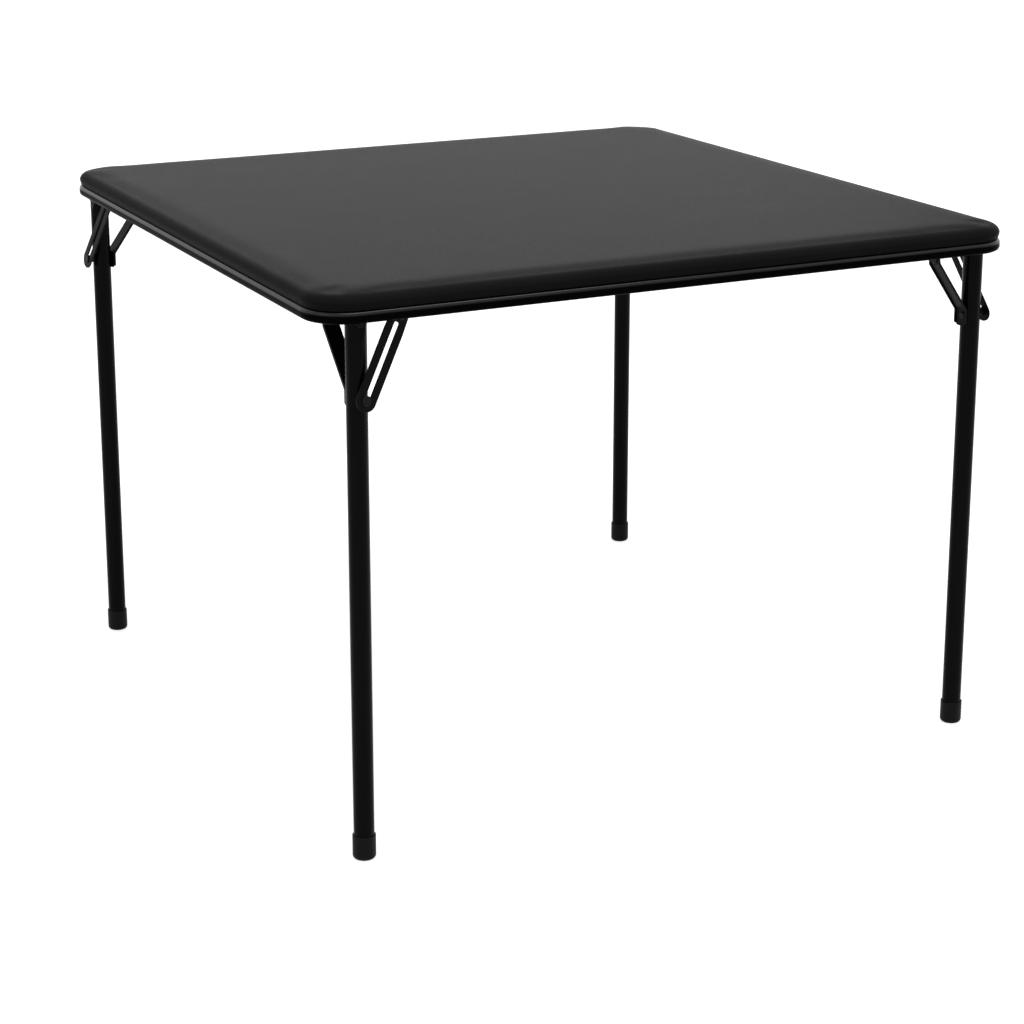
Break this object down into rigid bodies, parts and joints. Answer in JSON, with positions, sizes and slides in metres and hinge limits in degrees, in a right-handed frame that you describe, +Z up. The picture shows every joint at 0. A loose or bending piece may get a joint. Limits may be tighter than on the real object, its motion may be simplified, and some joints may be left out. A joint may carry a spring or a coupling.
{
  "type": "folding card table",
  "caption": "Square folding card table: padded top in a rolled steel rim, on round tube legs that fold in a pinwheel under it, each locked by a slotted stay and braced by a side strut.",
  "frame": {"origin": "on the floor under the centre of the table top, legs unfolded", "axes": "+Z up; +X and +Y along the sides of the square top, front left corner at -X -Y"},
  "size_m": [0.9596, 0.9596, 0.699],
  "materials": {
    "vinyl": "black vinyl with a fine leather grain, semi-matte",
    "foam": "open-cell foam, hidden inside the cover",
    "hardboard": "plain brown hardboard",
    "rim_paint": "satin black powder coat on rolled steel",
    "bracket_paint": "black powder coat on pressed steel",
    "leg_paint": "satin black powder coat on drawn tube",
    "link_paint": "black powder coat on stamped flat steel",
    "rivet_paint": "black-coated steel rivets",
    "zinc_screws": "zinc-plated pan-head screws, seen only from below",
    "cap_plastic": "black moulded plastic"
  },
  "bodies": {
    "table_top": {"vinyl_cover": "vinyl", "foam_pad": "foam", "top_board": "hardboard", "frame_rim": "rim_paint", "rim_screws": "zinc_screws", "bracket_screws": "zinc_screws", "hinge_bracket_front_left": "bracket_paint", "hinge_rivet_front_left": "rivet_paint", "stay_rivet_front_left": "rivet_paint", "strut_rivet_front_left": "rivet_paint", "hinge_bracket_front_right": "bracket_paint", "hinge_rivet_front_right": "rivet_paint", "stay_rivet_front_right": "rivet_paint", "strut_rivet_front_right": "rivet_paint", "hinge_bracket_back_right": "bracket_paint", "hinge_rivet_back_right": "rivet_paint", "stay_rivet_back_right": "rivet_paint", "strut_rivet_back_right": "rivet_paint", "hinge_bracket_back_left": "bracket_paint", "hinge_rivet_back_left": "rivet_paint", "stay_rivet_back_left": "rivet_paint", "strut_rivet_back_left": "rivet_paint"},
    "leg_front_left": {"leg_tube_front_left": "leg_paint", "side_strut_front_left": "link_paint", "tab_rivet_front_left": "rivet_paint", "foot_cap_front_left": "cap_plastic"},
    "stay_front_left": {"lock_stay_front_left": "link_paint"},
    "pin_front_left": {"lock_pin_front_left": "rivet_paint"},
    "leg_front_right": {"leg_tube_front_right": "leg_paint", "side_strut_front_right": "link_paint", "tab_rivet_front_right": "rivet_paint", "foot_cap_front_right": "cap_plastic"},
    "stay_front_right": {"lock_stay_front_right": "link_paint"},
    "pin_front_right": {"lock_pin_front_right": "rivet_paint"},
    "leg_back_right": {"leg_tube_back_right": "leg_paint", "side_strut_back_right": "link_paint", "tab_rivet_back_right": "rivet_paint", "foot_cap_back_right": "cap_plastic"},
    "stay_back_right": {"lock_stay_back_right": "link_paint"},
    "pin_back_right": {"lock_pin_back_right": "rivet_paint"},
    "leg_back_left": {"leg_tube_back_left": "leg_paint", "side_strut_back_left": "link_paint", "tab_rivet_back_left": "rivet_paint", "foot_cap_back_left": "cap_plastic"},
    "stay_back_left": {"lock_stay_back_left": "link_paint"},
    "pin_back_left": {"lock_pin_back_left": "rivet_paint"}
  },
  "joints": [
    {"name": "leg_fold_front_left", "type": "hinge", "parent": "table_top", "child": "leg_front_left", "pos_m": [-0.42224, -0.46332, 0.66442], "axis": [0.1205, -0.9816, 0.1478], "range_deg": [0, 90]},
    {"name": "stay_swing_front_left", "type": "hinge", "parent": "table_top", "child": "stay_front_left", "pos_m": [-0.37012, -0.45707, 0.66343], "axis": [0.1205, -0.9816, 0.1478], "range_deg": [0, 120.7]},
    {"name": "pin_travel_front_left", "type": "slide", "parent": "stay_front_left", "child": "pin_front_left", "axis": [0.4858, 0.1881, 0.8536], "range_m": [0, 0.066]},
    {"name": "leg_fold_front_right", "type": "hinge", "parent": "table_top", "child": "leg_front_right", "pos_m": [0.46332, -0.42224, 0.66442], "axis": [0.9816, 0.1205, 0.1478], "range_deg": [0, 90]},
    {"name": "stay_swing_front_right", "type": "hinge", "parent": "table_top", "child": "stay_front_right", "pos_m": [0.45707, -0.37012, 0.66343], "axis": [0.9816, 0.1205, 0.1478], "range_deg": [0, 120.7]},
    {"name": "pin_travel_front_right", "type": "slide", "parent": "stay_front_right", "child": "pin_front_right", "axis": [-0.1881, 0.4858, 0.8536], "range_m": [0, 0.066]},
    {"name": "leg_fold_back_right", "type": "hinge", "parent": "table_top", "child": "leg_back_right", "pos_m": [0.42224, 0.46332, 0.66442], "axis": [-0.1205, 0.9816, 0.1478], "range_deg": [0, 90]},
    {"name": "stay_swing_back_right", "type": "hinge", "parent": "table_top", "child": "stay_back_right", "pos_m": [0.37012, 0.45707, 0.66343], "axis": [-0.1205, 0.9816, 0.1478], "range_deg": [0, 120.7]},
    {"name": "pin_travel_back_right", "type": "slide", "parent": "stay_back_right", "child": "pin_back_right", "axis": [-0.4858, -0.1881, 0.8536], "range_m": [0, 0.066]},
    {"name": "leg_fold_back_left", "type": "hinge", "parent": "table_top", "child": "leg_back_left", "pos_m": [-0.46332, 0.42224, 0.66442], "axis": [-0.9816, -0.1205, 0.1478], "range_deg": [0, 90]},
    {"name": "stay_swing_back_left", "type": "hinge", "parent": "table_top", "child": "stay_back_left", "pos_m": [-0.45707, 0.37012, 0.66343], "axis": [-0.9816, -0.1205, 0.1478], "range_deg": [0, 120.7]},
    {"name": "pin_travel_back_left", "type": "slide", "parent": "stay_back_left", "child": "pin_back_left", "axis": [0.1881, -0.4858, 0.8536], "range_m": [0, 0.066]}
  ],
  "couplings": [
    {"joint": "stay_swing_front_left", "follows": "leg_fold_front_left", "ratio": 1.3403},
    {"joint": "pin_travel_front_left", "follows": "leg_fold_front_left", "m_per_rad": 0.041986},
    {"joint": "stay_swing_front_right", "follows": "leg_fold_front_right", "ratio": 1.3403},
    {"joint": "pin_travel_front_right", "follows": "leg_fold_front_right", "m_per_rad": 0.041986},
    {"joint": "stay_swing_back_right", "follows": "leg_fold_back_right", "ratio": 1.3403},
    {"joint": "pin_travel_back_right", "follows": "leg_fold_back_right", "m_per_rad": 0.041986},
    {"joint": "stay_swing_back_left", "follows": "leg_fold_back_left", "ratio": 1.3403},
    {"joint": "pin_travel_back_left", "follows": "leg_fold_back_left", "m_per_rad": 0.041986}
  ]
}
